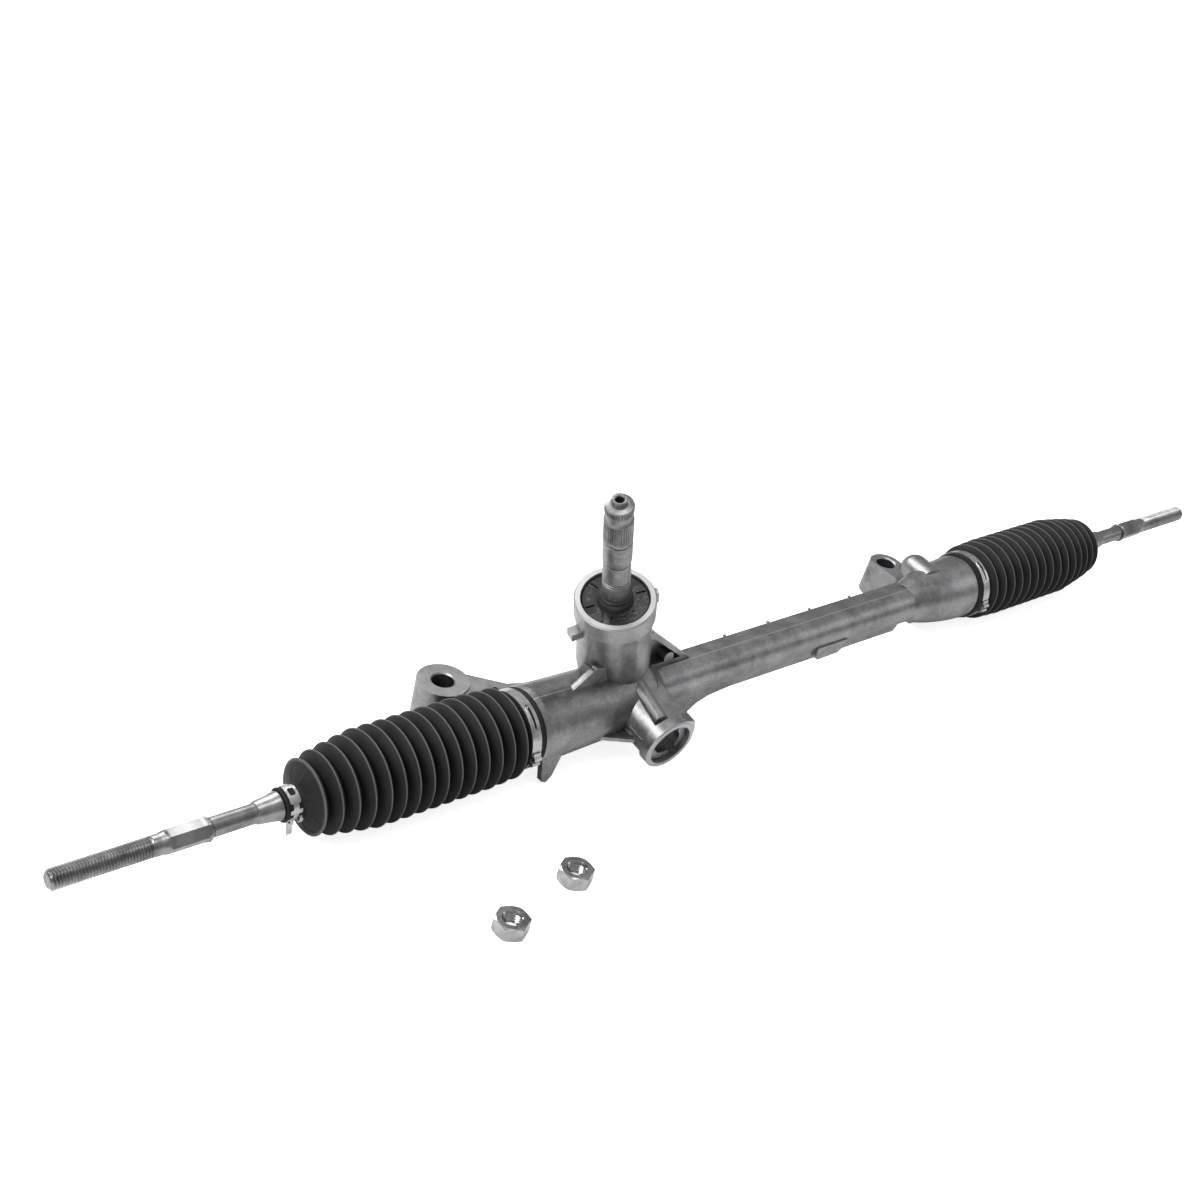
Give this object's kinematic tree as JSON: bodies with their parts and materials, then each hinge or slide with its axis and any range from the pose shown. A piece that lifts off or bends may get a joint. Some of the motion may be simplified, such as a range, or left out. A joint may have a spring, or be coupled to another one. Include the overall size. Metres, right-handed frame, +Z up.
{
  "type": "rack and pinion steering gear",
  "caption": "Manual rack and pinion steering gear with an aluminium housing, mounting lugs, a pinion shaft, bellows and threaded tie rods.",
  "frame": {"origin": "Midway between the two mounting holes, on the plane of the lugs' feet.", "axes": "+X along the rack, away from the pinion end; +Y away from the yoke side; +Z up the mounting bolts."},
  "size_m": [1.192, 0.2237, 0.2253],
  "materials": {
    "cast_aluminium": "satin sand cast aluminium, machined faces bright",
    "dark_steel": "dark oiled steel",
    "bright_steel": "ground bearing steel",
    "zinc_steel": "bright zinc plated steel",
    "clamp_steel": "plain stainless band",
    "spring_steel": "oiled spring steel",
    "black_rubber": "matt black moulded rubber",
    "black_polymer": "low friction bearing polymer"
  },
  "bodies": {
    "housing": {"housing": "cast_aluminium", "rack_bush": "black_polymer", "bush_snap_ring": "spring_steel", "bearing_outer_race": "bright_steel", "needle_cup": "bright_steel", "pinion_lock_nut": "dark_steel", "pinion_seal": "black_rubber", "yoke": "cast_aluminium", "yoke_liner": "black_polymer", "yoke_o_ring": "black_rubber", "yoke_spring": "spring_steel", "yoke_plug": "zinc_steel", "left_bellows": "black_rubber", "right_bellows": "black_rubber", "left_large_clamp": "clamp_steel", "right_large_clamp": "clamp_steel", "front_lock_nut": "zinc_steel", "rear_lock_nut": "zinc_steel"},
    "pinion": {"pinion_shaft": "dark_steel", "bearing_inner_race": "bright_steel", "bearing_balls": "bright_steel", "pinion_snap_ring": "spring_steel", "needle_rollers": "bright_steel"},
    "rack": {"rack_bar": "dark_steel", "left_lock_washer": "dark_steel", "right_lock_washer": "dark_steel", "left_socket": "dark_steel", "right_socket": "dark_steel"},
    "left_ball_seat": {"left_ball_seat": "black_polymer"},
    "right_ball_seat": {"right_ball_seat": "black_polymer"},
    "left_tie_rod": {"left_tie_rod": "dark_steel", "left_small_clamp": "spring_steel"},
    "right_tie_rod": {"right_tie_rod": "dark_steel", "right_small_clamp": "spring_steel"}
  },
  "joints": [
    {"name": "rack_slide", "type": "slide", "parent": "housing", "child": "rack", "axis": [1, 0, 0], "range_m": [-0.07, 0.07], "deforming": ["left_bellows", "right_bellows"]},
    {"name": "pinion_turn", "type": "hinge", "parent": "housing", "child": "pinion", "pos_m": [-0.1166, -0.0421, 0.03617], "axis": [-0.3355, -0.136, 0.9322], "range_deg": [-558, 558]},
    {"name": "left_rod_roll", "type": "hinge", "parent": "rack", "child": "left_ball_seat", "pos_m": [-0.292, -0.057, 0.034], "axis": [1, 0, 0], "continuous": true},
    {"name": "left_rod_tilt", "type": "hinge", "parent": "left_ball_seat", "child": "left_tie_rod", "pos_m": [-0.292, -0.057, 0.034], "axis": [0, 1, 0], "range_deg": [-15, 15]},
    {"name": "right_rod_roll", "type": "hinge", "parent": "rack", "child": "right_ball_seat", "pos_m": [0.348, -0.057, 0.034], "axis": [1, 0, 0], "continuous": true},
    {"name": "right_rod_tilt", "type": "hinge", "parent": "right_ball_seat", "child": "right_tie_rod", "pos_m": [0.348, -0.057, 0.034], "axis": [0, 1, 0], "range_deg": [-15, 15]}
  ],
  "couplings": [
    {"joint": "pinion_turn", "follows": "rack_slide", "rad_per_m": 138.89}
  ]
}
